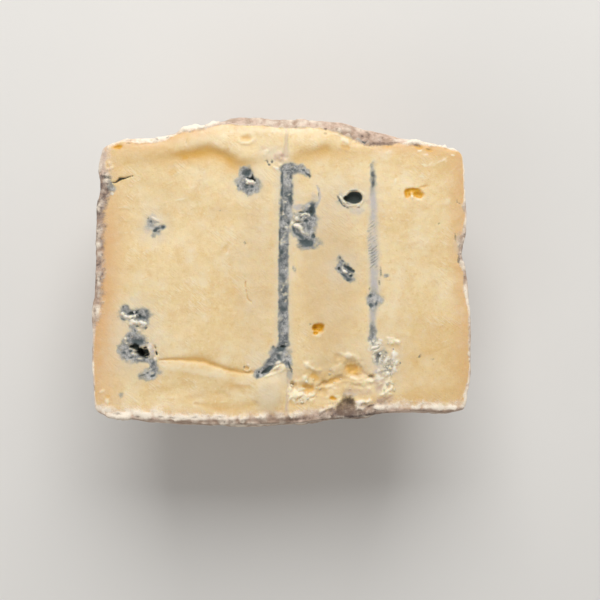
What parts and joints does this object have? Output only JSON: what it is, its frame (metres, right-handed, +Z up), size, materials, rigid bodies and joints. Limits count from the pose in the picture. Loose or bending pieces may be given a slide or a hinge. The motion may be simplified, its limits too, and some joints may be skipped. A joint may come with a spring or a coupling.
{
  "type": "blue cheese half",
  "caption": "Half of a small drum of blue cheese lying on its round rind, with the cut face up showing blue veins, mould pockets and a crumbly torn patch.",
  "frame": {"origin": "centre of the bounding box in plan, on the flat spot that the cheese rests on", "axes": "+X across the cut face, +Y along the axis of the whole drum towards its domed end, +Z up out of the cut face"},
  "size_m": [0.1183, 0.0977, 0.0576],
  "materials": {
    "cheese": "pale butter-yellow paste with blue-grey veins and a mottled natural rind"
  },
  "bodies": {
    "root": {"cheese": "cheese"}
  },
  "joints": []
}
